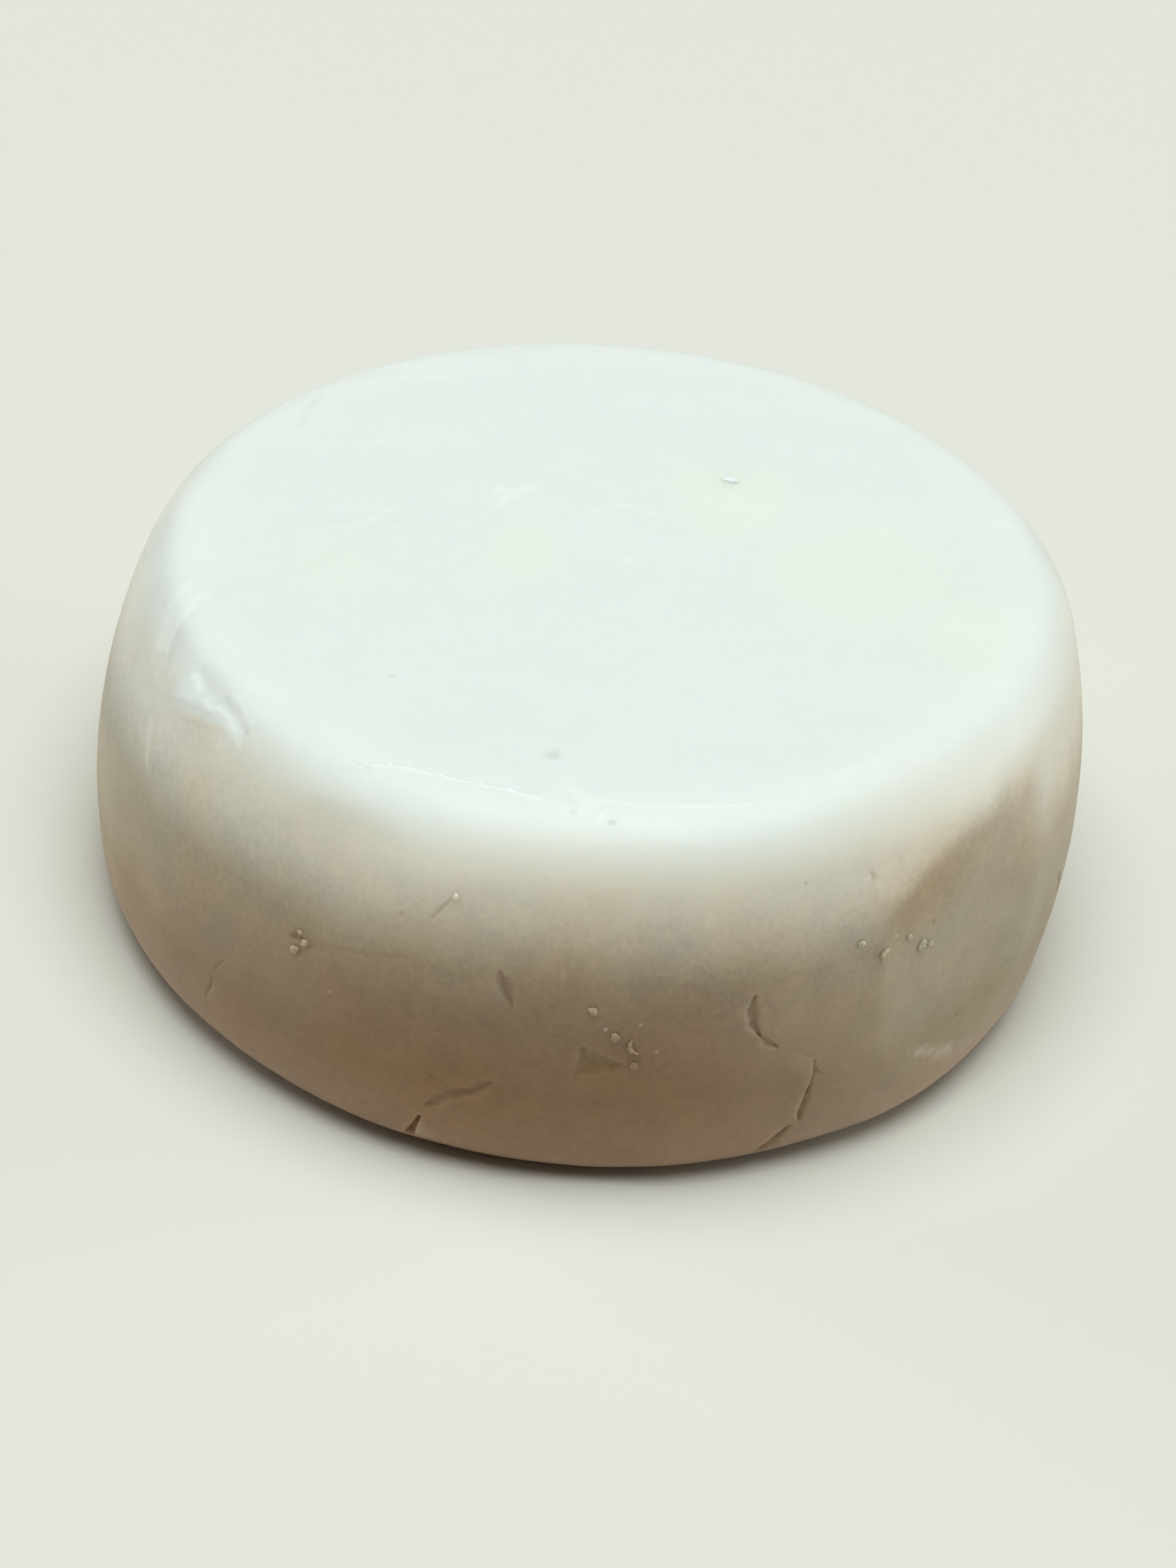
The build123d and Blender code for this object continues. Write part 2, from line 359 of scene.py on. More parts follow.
class SoapShape(bpy.types.PropertyGroup):
    """The puck's surface."""

    face_size: bpy.props.FloatProperty(
        name="Face size", description="Edge length of the faces where the soap is smooth",
        default=0.6 * MM, min=0.3 * MM, unit="LENGTH")
    halvings: bpy.props.IntProperty(
        name="Halvings", description="How often the faces are halved beside a mark", default=3, min=0, max=4)
    sway: bpy.props.FloatProperty(
        name="Sway", description="How far the hand-pressed surface wanders over a finger's width",
        default=0.22 * MM, unit="LENGTH")
    dimple: bpy.props.FloatProperty(
        name="Dimple", description="How far it wanders over a few millimetres",
        default=0.05 * MM, unit="LENGTH")
    ripple: bpy.props.FloatProperty(
        name="Ripple", description="How far it wanders over a millimetre or two",
        default=0.012 * MM, unit="LENGTH")
    resting_margin: bpy.props.FloatProperty(
        name="Resting margin", description="Height over which the wandering fades out above the resting face",
        default=1.5 * MM, unit="LENGTH")
    seed: bpy.props.IntProperty(name="Seed", description="Chooses the crumbs' chance shapes", default=7)


class SoapFinish(bpy.types.PropertyGroup):
    """Colours and gloss of the soap, and the painted shade on its wall."""

    body: bpy.props.FloatVectorProperty(
        name="Soap", description="Milled soap, fresh from the press", subtype="COLOR", size=3,
        default=linear("E6E9E6"))
    cream: bpy.props.FloatVectorProperty(
        name="Cream stain", description="Oil that has come to the surface", subtype="COLOR", size=3,
        default=linear("EBEEDF"))
    # these six colours are the wall's painted shade with warm bounce light, from the shoulder down to the
    # foot
    shoulder: bpy.props.FloatVectorProperty(
        name="Shoulder", description="The rounded edge, where it turns down", subtype="COLOR", size=3,
        default=linear("E5DFD2"))
    under_shoulder: bpy.props.FloatVectorProperty(
        name="Under the shoulder", description="The wall just below the rounded edge",
        subtype="COLOR", size=3, default=linear("D6CBBB"))
    # painted shade, darker than the soap's own colour
    upper_wall: bpy.props.FloatVectorProperty(
        name="Upper wall", description="Where the drying shows", subtype="COLOR", size=3,
        default=linear("AD9C85"))
    belly: bpy.props.FloatVectorProperty(
        name="Belly", description="The widest part of the wall", subtype="COLOR", size=3,
        default=linear("A08B72"))
    lower_wall: bpy.props.FloatVectorProperty(
        name="Lower wall", description="The darkest part of the wall", subtype="COLOR", size=3,
        default=linear("907759"))
    foot: bpy.props.FloatVectorProperty(
        name="Foot", description="The wall where it curves in to the resting face", subtype="COLOR", size=3,
        default=linear("9C8066"))
    # this colour also paints the highlight on raised ridges and beads
    fresh: bpy.props.FloatVectorProperty(
        name="Fresh", description="Freshly torn or smeared soap", subtype="COLOR", size=3,
        default=linear("F8FAF6"))
    # browning sets how far the painted warmth of the wall, and its chance brown patches, turn its hue
    browning: bpy.props.FloatProperty(
        name="Browning", description="How much redder and less blue the brownest soap is",
        default=0.17, min=0, max=1)
    # the colour of the painted shade deep in cracks and pits
    hollow: bpy.props.FloatVectorProperty(
        name="Hollow", description="Soap deep in a crack", subtype="COLOR", size=3, default=linear("8A6F4C"))
    roughness: bpy.props.FloatProperty(
        name="Roughness", description="Of the waxy surface", default=0.46, min=0, max=1, subtype="FACTOR")


class SoapStage(bpy.types.PropertyGroup):
    """Camera, floor and lights."""

    distance: bpy.props.FloatProperty(
        name="Camera distance", description="From the point it looks at", default=340 * MM, unit="LENGTH")
    elevation: bpy.props.FloatProperty(
        name="Camera elevation", description="Above the floor", default=math.radians(37.07), subtype="ANGLE")
    roll: bpy.props.FloatProperty(
        name="Camera roll", description="Turn about the line of sight",
        default=math.radians(7.26), subtype="ANGLE")
    lens: bpy.props.FloatProperty(
        name="Lens", description="Focal length", default=110.4, subtype="DISTANCE_CAMERA")
    floor: bpy.props.FloatVectorProperty(
        name="Floor", description="Pale matt board", subtype="COLOR", size=3, default=linear("DEDAD3"))


# Shape


def cad_surface(node):
    """A copy of a CAD node's mesh with its loose triangles joined."""
    surface = bmesh.new()
    surface.from_mesh(node.data)
    bmesh.ops.remove_doubles(surface, verts=surface.verts, dist=0.0001 * MM)
    return surface


def even_faces(surface, size):
    """The same closed surface rebuilt from faces of one size."""
    mesh = bpy.data.meshes.new("even_faces")
    surface.to_mesh(mesh)
    holder = bpy.data.objects.new("even_faces", mesh)
    bpy.context.scene.collection.objects.link(holder)
    remesh = holder.modifiers.new("even_faces", "REMESH")
    remesh.mode = "VOXEL"
    remesh.voxel_size = size
    depsgraph = bpy.context.evaluated_depsgraph_get()
    even = bpy.data.meshes.new_from_object(holder.evaluated_get(depsgraph))
    surface.free()
    result = bmesh.new()
    result.from_mesh(even)
    bpy.data.objects.remove(holder)
    bpy.data.meshes.remove(mesh)
    bpy.data.meshes.remove(even)
    return result


def lay_on(surface, tree):
    """Moves every vertex onto the nearest point of another surface."""
    for vertex in surface.verts:
        vertex.co = tree.find_nearest(vertex.co)[0]


def place_on(tree, face, place):
    """The point of the surface at a place on the wall or on the top, and the direction out of it."""
    if face == "wall":
        direction, height = math.radians(place[0]), place[1] * MM
        outwards = Vector((math.cos(direction), math.sin(direction), 0))
        start = outwards * CAD_BOX[1][0] * 2 + Vector((0, 0, height))
        return tree.ray_cast(start, -outwards)[:2]
    start = Vector((place[0] * MM, place[1] * MM, CAD_BOX[1][2] * 2))
    return tree.ray_cast(start, Vector((0, 0, -1)))[:2]


def smooth_step(low, high, values):
    """0 below low, 1 above high, and an even S between them."""
    share = np.clip((values - low) / (high - low), 0, 1)
    return share * share * (3 - 2 * share)


def coordinates(surface):
    """The vertices of a bmesh as one array."""
    return np.array([vertex.co for vertex in surface.verts])


def near_line(points, line, normals):
    """Each point's distance to a line of straight runs, its side of it, and how far along it lies."""
    nearest = np.full(len(points), np.inf)
    side = np.zeros(len(points))
    along = np.zeros(len(points))
    if len(line) == 1:
        return np.linalg.norm(points - line[0], axis=1), np.ones(len(points)), along
    for index in range(len(line) - 1):
        start, run = line[index], line[index + 1] - line[index]
        share = np.clip((points - start) @ run / (run @ run), 0, 1)
        offset = points - start - share[:, None] * run
        distance = np.linalg.norm(offset, axis=1)
        closer = distance < nearest
        nearest = np.where(closer, distance, nearest)
        leftwards = np.cross(normals[index], run)
        side = np.where(closer, offset @ leftwards / np.linalg.norm(leftwards), side)
        along = np.where(closer, index + share, along)
    return nearest, side, along


@dataclass
class Traced:
    """A mark with its points on the surface, in metres."""

    mark: Mark
    line: np.ndarray
    normals: np.ndarray

    def distance(self, points):
        return near_line(points, self.line, self.normals)

    def is_fine(self):
        return self.mark.depth != 0 or self.mark.grain != 0 or self.mark.left != self.mark.right

    def widest(self):
        return max(self.mark.half_widths)

    def widths(self, along):
        """The mark's half width at each place along its line, in metres."""
        return np.interp(along, np.arange(len(self.mark.half_widths)), self.mark.half_widths) * MM

    def fade(self, along):
        """0 at the ends of the line and 1 between them. A single point has no ends."""
        ends = len(self.line) - 1
        if not ends:
            return np.ones(len(along))
        run = min(END_RUN, ends / 2)
        return smooth_step(0, run, along) * smooth_step(0, run, ends - along)


def trace(marks, tree):
    """Lays every mark's points on the surface."""
    traced = []
    for mark in marks:
        places = [place_on(tree, mark.face, point) for point in mark.points]
        traced.append(Traced(mark, np.array([p[0] for p in places]), np.array([p[1] for p in places])))
    return traced


def halve_near(surface, traced, size, halvings):
    """Halves the edges beside every fine mark, each time nearer to it, until they are fine enough for it."""
    margin = 1.2 * MM
    coarsest = 0.3  # edge length beside a mark, as a share of its half width
    for _ in range(halvings):
        surface.verts.index_update()
        points = coordinates(surface)
        close = np.zeros(len(points), dtype=bool)
        for item in traced:
            width = item.widest() * MM
            if item.is_fine() and size > width * coarsest:
                close |= item.distance(points)[0] < width * 1.2 + margin
        edges = [
            edge for edge in surface.edges
            if close[edge.verts[0].index] and close[edge.verts[1].index] and edge.calc_length() > size * 0.55
        ]
        bmesh.ops.subdivide_edges(surface, edges=edges, cuts=1, use_grid_fill=True)
        size /= 2
        margin /= 2


def field(points, wavelength, shift):
    """Smooth chance values between about -1 and 1 that change over one wavelength, in millimetres.

    The shift picks another part of the same noise."""
    scale = 1 / (wavelength * MM)
    offset = Vector((shift, -shift, shift * 0.5))
    return np.array([noise.noise(Vector(point) * scale + offset) for point in points])


def press_flats(points, tree, flats):
    """How far each point moves in when flats are pressed into the wall."""
    moved = np.zeros(len(points))
    softness = 0.06 * MM
    for direction, height, depth, tilt in flats:
        place, normal = place_on(tree, "wall", (direction, height))
        across = Vector((0, 0, 1)).cross(normal).normalized()
        normal = Matrix.Rotation(math.radians(-tilt), 3, across) @ normal
        proud = (points - np.array(place - normal * depth * MM)) @ np.array(normal)
        pressed = softness * np.logaddexp(0, proud / softness)
        moved = np.minimum(moved, -pressed)
    return moved


def apply_mark(item, points, rough):
    """What one mark does to each point: its height, how hollow it is, which sets its painted shade, and how
    fresh, which on a raised ridge or bead is a painted highlight.
    """
    mark = item.mark
    distance, side, along = item.distance(points)
    widths = item.widths(along)
    fade = item.fade(along)
    wobble = rough * widths * RAGGEDNESS
    inside = 1 - smooth_step(0.1, 1.2, (distance + wobble) / widths)
    height = -mark.depth * MM * inside
    leftness = smooth_step(-1, 1, (side + wobble) / widths)
    beside = (mark.right + (mark.left - mark.right) * leftness) * MM
    beyond = np.maximum(distance - widths * 0.5, 0) / (mark.reach * MM)
    height += beside * np.exp(-beyond) * fade * (1 - inside * (mark.depth > 0))
    hollow = inside * min(max(mark.depth, 0) / DARK_DEPTH, 1)
    # a raised ridge or bead is painted pale: a painted highlight
    fresh = inside * min(max(-mark.depth, 0) / PALE_RISE, 1)
    lip = np.maximum(beside, 0) / (PALE_LIP * MM) * np.exp(-2.5 * beyond)
    fresh += lip * fade * (1 - inside) * (mark.depth != 0)
    return height, hollow, fresh, inside * mark.grain * MM


def puck_surface(shape):
    """The puck's surface: the CAD shape with pressed flats, cracks, folds and pits."""
    tree = puck_tree()
    surface = even_faces(cad_surface(CAD_PUCK), shape.face_size)
    pits = [Mark(face, (place,), (radius,), depth=depth) for face, place, radius, depth in PITS]
    traced = trace(CRACKS + FOLDS + BENDS + pits, tree)
    halve_near(surface, traced, shape.face_size, shape.halvings)
    lay_on(surface, tree)
    surface.normal_update()

    points = coordinates(surface)
    normals = np.array([vertex.normal for vertex in surface.verts])
    height = shape.sway * field(points, 17, 3.1) + shape.dimple * field(points, 5, 11.7)
    height += shape.ripple * field(points, 1.6, 5.3) - shape.sway * 0.3
    height *= 1 - 0.5 * smooth_step(0.6, 0.98, normals[:, 2])
    height += press_flats(points, tree, FLATS)
    rough = field(points, 0.45, 8.9)
    grit = field(points, 0.22, 2.2)
    hollow = np.zeros(len(points))
    fresh = np.zeros(len(points))
    gloss = np.zeros(len(points))
    for item in traced:
        rise, deep, new, grain = apply_mark(item, points, rough)
        gloss = np.maximum(gloss, item.mark.gloss * new)
        height += rise + grain * (rough + 0.6 * grit)
        hollow = np.maximum(hollow, deep)
        scuffed = (grain > 0.01 * MM) * smooth_step(0, 0.05 * MM, grain) * (0.5 + rough) * 0.8
        fresh = np.maximum(fresh, new + scuffed)
    height *= smooth_step(0, shape.resting_margin, points[:, 2])
    moved = points + normals * height[:, None]
    moved[:, 2] = np.maximum(moved[:, 2], 0)
    for vertex, place in zip(surface.verts, moved):
        vertex.co = place
    pale = 0.5 * np.maximum(smear_values(points, trace(SMEARS, tree)), np.clip(fresh, 0, 1))
    share_of_height = heights(points, tree)
    # the level picks how much painted shade the wall gets, deepened or lifted along marked lines, and the
    # next line adds painted light and shade by direction
    level = share_of_height + wander_of_level(points) - shade_line_values(points, trace(SHADE_LINES, tree))
    painted_light_and_shade, painted_warmth = painted_light_values(points, share_of_height)
    return surface, {"hollow": hollow, "pale": pale, "stain": stain_values(points), "level": level,
                     "painted_light_and_shade": painted_light_and_shade, "painted_warmth": painted_warmth, "gloss": np.clip(gloss, 0, 1)}


def puck_tree():
    """The CAD puck's surface, for finding places on it."""
    cad = cad_surface(CAD_PUCK)
    tree = BVHTree.FromBMesh(cad)
    cad.free()
    return tree


def heights(points, tree):
    """How high each point is, as a share of the height of the tilted top above or below it."""
    left, right = (place_on(tree, "top", (x, 0))[0] for x in (-20, 20))
    slope = (right.z - left.z) / (right.x - left.x)
    top = (left.z + right.z) / 2 + slope * points[:, 0]
    return points[:, 2] / top


def wander_of_level(points):
    """How far the wall's painted shade wanders up and down."""
    return 0.035 * field(points, 14, 9.2)


def smear_values(points, smears):
    """How pale each point is, from soap wiped over it in streaks."""
    streaks = np.clip(0.55 + 0.9 * field(points, 0.9, 4.4), 0, 1)
    pale = np.zeros(len(points))
    for item in smears:
        distance, _, along = item.distance(points)
        inside = 1 - smooth_step(0.1, 1.1, distance / item.widths(along))
        pale = np.maximum(pale, item.mark.depth * inside * streaks)
    return pale


def shade_line_values(points, tints):
    """How much more of the wall's painted shade each point gets than its level alone would give it."""
    tint = np.zeros(len(points))
    for item in tints:
        distance, side, along = item.distance(points)
        softness = item.mark.half_widths[0] * MM
        fading = np.exp(-((distance / (item.mark.reach * MM)) ** 2))
        fading *= item.fade(along)
        tint += item.mark.depth * fading * smooth_step(-softness, softness, -side)
    return tint


def painted_light_values(points, share_of_height):
    """How much paler and how much browner the wall is painted than elsewhere at the same level: painted
    light, and painted shade with warm bounce light.
    """
    directions = np.degrees(np.arctan2(points[:, 1], points[:, 0]))
    wander = field(points, 7, 1.3)
    painted_light_and_shade = np.zeros(len(points))
    painted_warmth = np.zeros(len(points))
    for direction, height, half_width, half_height, paler, browner in PAINTED_LIGHT_PATCHES:
        aside = (directions - direction + 180) % 360 - 180
        away = np.hypot(aside / half_width, (points[:, 2] / MM - height) / half_height)
        share = np.exp(-((away + 0.25 * wander) ** 2))
        painted_light_and_shade += paler * share
        painted_warmth += browner * share
    on_wall = 1 - smooth_step(0.95, 0.995, share_of_height)
    return painted_light_and_shade * on_wall, painted_warmth * on_wall


def stain_values(points):
    """How cream-coloured each point of the top is."""
    cloud = field(points, 4.5, 6.6)
    stain = np.zeros(len(points))
    for x, y, radius in STAINS:
        distance = np.hypot(points[:, 0] - x * MM, points[:, 1] - y * MM) / (radius * MM)
        stain = np.maximum(stain, 1 - smooth_step(0.3, 1.1, distance + 0.35 * cloud))
    return stain * smooth_step(0.8, 0.89, points[:, 2] / CAD_BOX[1][2])


def add_piece(name, surface, attributes, material, node):
    """Makes an object from a bmesh, with named values on its vertices, in place of a CAD node."""
    mesh = bpy.data.meshes.new(name)
    surface.to_mesh(mesh)
    surface.free()
    for key, values in attributes.items():
        layer = mesh.attributes.new(key, "FLOAT", "POINT")
        layer.data.foreach_set("value", np.asarray(values, dtype=np.float32))
    mesh.polygons.foreach_set("use_smooth", [True] * len(mesh.polygons))
    mesh.materials.append(material)
    piece = bpy.data.objects.new(name, mesh)
    bpy.context.scene.collection.objects.link(piece)
    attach(piece, "root")
    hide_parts(node)
    return piece


def loose_parts(surface):
    """The separate closed parts of a bmesh, each as a list of its vertices' places."""
    parts = []
    waiting = set(surface.verts)
    while waiting:
        part, edge_of_part = set(), [waiting.pop()]
        while edge_of_part:
            vertex = edge_of_part.pop()
            part.add(vertex)
            for edge in vertex.link_edges:
                other = edge.other_vert(vertex)
                if other in waiting:
                    waiting.discard(other)
                    edge_of_part.append(other)
        parts.append([vertex.co.copy() for vertex in part])
    return sorted(parts, key=lambda part: (round(part_middle(part).x, 6), round(part_middle(part).z, 6)))


def part_middle(part):
    """The middle of the box round some points."""
    low = Vector(min(place[axis] for place in part) for axis in range(3))
    high = Vector(max(place[axis] for place in part) for axis in range(3))
    return (low + high) / 2


def crumb(middle, outwards, radius, chance):
    """One crumb: a ball drawn out, curled and roughened, seated on the soap."""
    surface = bmesh.new()
    bmesh.ops.create_icosphere(surface, subdivisions=4, radius=radius)
    # a large one is a thin flake on the top and a curl on the wall, and the rest are grains
    is_large = radius > 0.36 * MM
    is_on_top = outwards.z > 0.9
    stretch = (1.2, 0.9, 0.55)
    if is_large:
        stretch = (1.4, 0.8, 0.22) if is_on_top else (1.5, 0.5, 0.55)
    bmesh.ops.scale(surface, vec=stretch, verts=surface.verts)
    curl = (0.45 if is_large and not is_on_top else 0.1) / radius
    shift = Vector((chance.uniform(-50, 50), chance.uniform(-50, 50), chance.uniform(-50, 50)))
    for vertex in surface.verts:
        vertex.co.y += curl * vertex.co.x**2
        lump = noise.noise(vertex.co / (0.7 * radius) + shift) * 0.3
        lump += noise.noise(vertex.co / (0.25 * radius)) * 0.1
        vertex.co += vertex.co.normalized() * lump * radius
    turn = Matrix.Rotation(chance.uniform(0, math.tau), 3, "Z")
    stand = outwards.to_track_quat("Z", "Y").to_matrix()
    bmesh.ops.rotate(surface, verts=surface.verts, cent=(0, 0, 0), matrix=stand @ turn)
    bmesh.ops.translate(surface, verts=surface.verts, vec=middle + outwards * radius * 0.1)
    return surface


def join(surfaces):
    """Several bmeshes as one."""
    whole = bmesh.new()
    for surface in surfaces:
        mesh = bpy.data.meshes.new("part")
        surface.to_mesh(mesh)
        surface.free()
        whole.from_mesh(mesh)
        bpy.data.meshes.remove(mesh)
    return whole


# Materials


def add_node(tree, kind, settings=None, inputs=None):
    """Adds a shader node, sets its settings, and sets or links its inputs."""
    node = tree.nodes.new(kind)
    for name, value in (settings or {}).items():
        setattr(node, name, value)
    for name, value in (inputs or {}).items():
        if isinstance(value, bpy.types.NodeSocket):
            tree.links.new(value, node.inputs[name])
        else:
            node.inputs[name].default_value = value
    return node


def blank_material(name):
    """A material with an empty node tree."""
    material = bpy.data.materials.new(name)
    material.use_nodes = True
    material.node_tree.nodes.clear()
    return material


def colour(values):
    """A node colour from red, green and blue."""
    return (*values, 1.0)


def pressed_soap(name, finish, scattering):
    """Hard milled shaving soap, pressed by hand: waxy, faintly translucent, clouded and lightly smeared.

    Light scatters inside it over a few millimetres in the puck, and over much less in a crumb."""
    material = blank_material(name)
    tree = material.node_tree
    place = add_node(tree, "ShaderNodeTexCoord").outputs["Object"]
    mm = add_node(tree, "ShaderNodeVectorMath", SCALE, {0: place, "Scale": 1 / MM}).outputs[0]
    hollow, pale, stain, level, painted_light_and_shade, painted_warmth, gloss = (
        add_node(tree, "ShaderNodeAttribute", {"attribute_name": key}).outputs["Fac"]
        for key in SOAP_VALUES)

    # clouds of slightly creamier soap, about 9 mm across
    cloud = add_node(tree, "ShaderNodeTexNoise", None, {"Vector": mm, "Scale": 1 / 9, "Detail": 4.0})
    cloudy = add_node(tree, "ShaderNodeMapRange", None,
                      {"Value": cloud.outputs["Fac"], "From Min": 0.45, "From Max": 0.75, "To Max": 0.2})
    body = add_node(tree, "ShaderNodeMix", COLOUR_MIX,
                    {0: cloudy.outputs[0], 6: colour(finish.body), 7: colour(finish.cream)}).outputs[2]
    stained = add_node(tree, "ShaderNodeMath", MULTIPLY, {0: stain, 1: 0.5}).outputs[0]
    body = add_node(tree, "ShaderNodeMix", COLOUR_MIX,
                    {0: stained, 6: body, 7: colour(finish.cream)}).outputs[2]

    # painted shade with warm bounce light: the wall is painted tan, darkest near the foot, and stays pale
    # under the rim
    shade_ramp = add_node(tree, "ShaderNodeValToRGB", None, {"Fac": level})
    stops = shade_ramp.color_ramp.elements
    first, last = stops
    first.position, first.color = 0.1, colour(finish.foot)
    last.position, last.color = 0.98, colour(finish.body)
    for position, wall_shade in ((0.28, finish.lower_wall), (0.46, finish.belly), (0.61, finish.upper_wall),
                          (0.76, finish.under_shoulder), (0.87, finish.shoulder)):
        stops.new(position).color = colour(wall_shade)
    on_wall = add_node(tree, "ShaderNodeMapRange", None,
                       {"Value": level, "From Min": 1.0, "From Max": 0.95}).outputs[0]
    body = add_node(tree, "ShaderNodeMix", COLOUR_MIX,
                    {0: on_wall, 6: body, 7: shade_ramp.outputs["Color"]}).outputs[2]

    # below the shoulder the wall is mottled, in patches of about 2.5 mm, and grained like fine sand
    wall_shade = add_node(tree, "ShaderNodeMapRange", None,
                   {"Value": level, "From Min": 0.92, "From Max": 0.72}).outputs[0]
    mottle = add_node(tree, "ShaderNodeTexNoise", None,
                      {"Vector": mm, "Scale": 1 / 2.5, "Detail": 7.0, "Roughness": 0.7})
    depth = add_node(tree, "ShaderNodeMath", MULTIPLY_ADD, {0: wall_shade, 1: 0.07, 2: 0.01}).outputs[0]
    spread = add_node(tree, "ShaderNodeMapRange", None,
                      {"Value": mottle.outputs["Fac"], "From Min": 0.3, "From Max": 0.7, "To Min": -1.0,
                       "To Max": 1.0}).outputs[0]
    # the wall's painted light and painted shade scale its colour here
    lit_and_shaded = add_node(tree, "ShaderNodeMath", ADD, {0: painted_light_and_shade, 1: 1.0}).outputs[0]
    grain = add_node(tree, "ShaderNodeTexNoise", None,
                     {"Vector": mm, "Scale": 1 / 0.4, "Detail": 3.0}).outputs["Fac"]
    grains = add_node(tree, "ShaderNodeMapRange", None,
                      {"Value": grain, "From Min": 0.3, "From Max": 0.7, "To Min": -0.06,
                       "To Max": 0.06}).outputs[0]
    grained = add_node(tree, "ShaderNodeMath", MULTIPLY_ADD, {0: grains, 1: wall_shade, 2: lit_and_shaded}).outputs[0]
    mottled = add_node(tree, "ShaderNodeMath", MULTIPLY_ADD, {0: spread, 1: depth, 2: grained}).outputs[0]
    body = add_node(tree, "ShaderNodeVectorMath", SCALE, {0: body, "Scale": mottled}).outputs[0]

    # painted warmth makes the front browner, for its shade and warm bounce light, and the right greyer, for
    # the light from that side, with chance patches of both about 6 mm across
    patch = add_node(tree, "ShaderNodeTexNoise", None,
                     {"Vector": mm, "Scale": 1 / 6, "Detail": 3.0}).outputs["Fac"]
    patchy = add_node(tree, "ShaderNodeMapRange", None,
                      {"Value": patch, "From Min": 0.35, "From Max": 0.65, "To Min": -0.2,
                       "To Max": 0.2}).outputs[0]
    browner = add_node(tree, "ShaderNodeMath", MULTIPLY_ADD, {0: patchy, 1: wall_shade, 2: painted_warmth}).outputs[0]
    red = add_node(tree, "ShaderNodeMath", MULTIPLY_ADD,
                   {0: browner, 1: finish.browning, 2: 1.0}).outputs[0]
    blue = add_node(tree, "ShaderNodeMath", MULTIPLY_ADD,
                    {0: browner, 1: -finish.browning, 2: 1.0}).outputs[0]
    hue = add_node(tree, "ShaderNodeCombineXYZ", None, {"X": red, "Y": 1.0, "Z": blue}).outputs[0]
    body = add_node(tree, "ShaderNodeVectorMath", MULTIPLY, {0: body, 1: hue}).outputs[0]

    # painted shade darkens the soap deep in cracks and pits; it is paler where smeared, torn and scuffed, and
    # on raised ridges and beads, where the paleness is a painted highlight
    hollow_shade_depth = add_node(tree, "ShaderNodeMath", MULTIPLY_ADD, {0: wall_shade, 1: 0.3, 2: 0.12}).outputs[0]
    crack_shade = add_node(tree, "ShaderNodeMath", MULTIPLY, {0: hollow, 1: hollow_shade_depth}).outputs[0]
    body = add_node(tree, "ShaderNodeMix", COLOUR_MIX,
                    {0: crack_shade, 6: body, 7: colour(finish.hollow)}).outputs[2]
    body = add_node(tree, "ShaderNodeMix", COLOUR_MIX, {0: pale, 6: body, 7: colour(finish.fresh)}).outputs[2]

    # smears left by the palm: long in x, 3 mm wide
    smear_space = add_node(tree, "ShaderNodeMapping", None,
                           {"Vector": mm, "Rotation": (0, 0, 0.15), "Scale": (0.06, 0.33, 0.33)}).outputs[0]
    smear = add_node(tree, "ShaderNodeTexNoise", None,
                     {"Vector": smear_space, "Scale": 1.0, "Detail": 6.0, "Roughness": 0.6})
    wiped = add_node(tree, "ShaderNodeMapRange", None,
                     {"Value": level, "From Min": 0.8, "From Max": 0.98, "To Min": 0.1,
                      "To Max": 1.0}).outputs[0]
    streak = add_node(tree, "ShaderNodeMapRange", None,
                      {"Value": smear.outputs["Fac"], "From Min": 0.3, "From Max": 0.7, "To Min": -0.08,
                       "To Max": 0.08}).outputs[0]
    waxy = add_node(tree, "ShaderNodeMath", MULTIPLY_ADD,
                    {0: streak, 1: wiped, 2: finish.roughness}).outputs[0]
    polish = add_node(tree, "ShaderNodeMath", MULTIPLY_ADD, {0: gloss, 1: -0.7, 2: 1.0}).outputs[0]
    roughness = add_node(tree, "ShaderNodeMath", MULTIPLY, {0: waxy, 1: polish}).outputs[0]

    # the wall is sandy from the mould, with grains of about 0.4 mm, and the pressed top is smooth
    sandy = add_node(tree, "ShaderNodeMath", MULTIPLY_ADD, {0: on_wall, 1: 0.85, 2: 0.15}).outputs[0]
    sand = add_node(tree, "ShaderNodeMath", MULTIPLY, {0: grain, 1: sandy}).outputs[0]
    relief = add_node(tree, "ShaderNodeMath", MULTIPLY_ADD,
                      {0: streak, 1: wiped, 2: sand}).outputs[0]
    bump = add_node(tree, "ShaderNodeBump", None,
                    {"Height": relief, "Strength": 0.6, "Distance": 0.03 * MM}).outputs[0]

    shader = add_node(tree, "ShaderNodeBsdfPrincipled", None, {
        "Base Color": body, "Roughness": roughness, "IOR": 1.45, "Normal": bump,
        "Subsurface Weight": 0.8, "Subsurface Radius": (1.0, 0.8, 0.6), "Subsurface Scale": scattering * MM,
    })
    add_node(tree, "ShaderNodeOutputMaterial", None, {"Surface": shader.outputs[0]})
    return material


def matt_board(board):
    """Pale uncoated board: it shows no gloss, only the soap's soft shadow."""
    material = blank_material("matt_board")
    tree = material.node_tree
    shader = add_node(tree, "ShaderNodeBsdfPrincipled", None,
                      {"Base Color": colour(board), "Roughness": 0.85, "IOR": 1.45})
    add_node(tree, "ShaderNodeOutputMaterial", None, {"Surface": shader.outputs[0]})
    return material


# Operators


class SOAP_OT_make_puck(bpy.types.Operator):
    """Makes the puck's detailed body in place of its CAD solid"""

    bl_idname = "soap.make_puck"
    bl_label = "Puck"

    def execute(self, context):
        material = pressed_soap("pressed_shaving_soap", context.scene.soap_finish, 4.0)
        surface, attributes = puck_surface(context.scene.soap_shape)
        add_piece("pressed_soap_body", surface, attributes, material, "soap_puck")
        return {"FINISHED"}


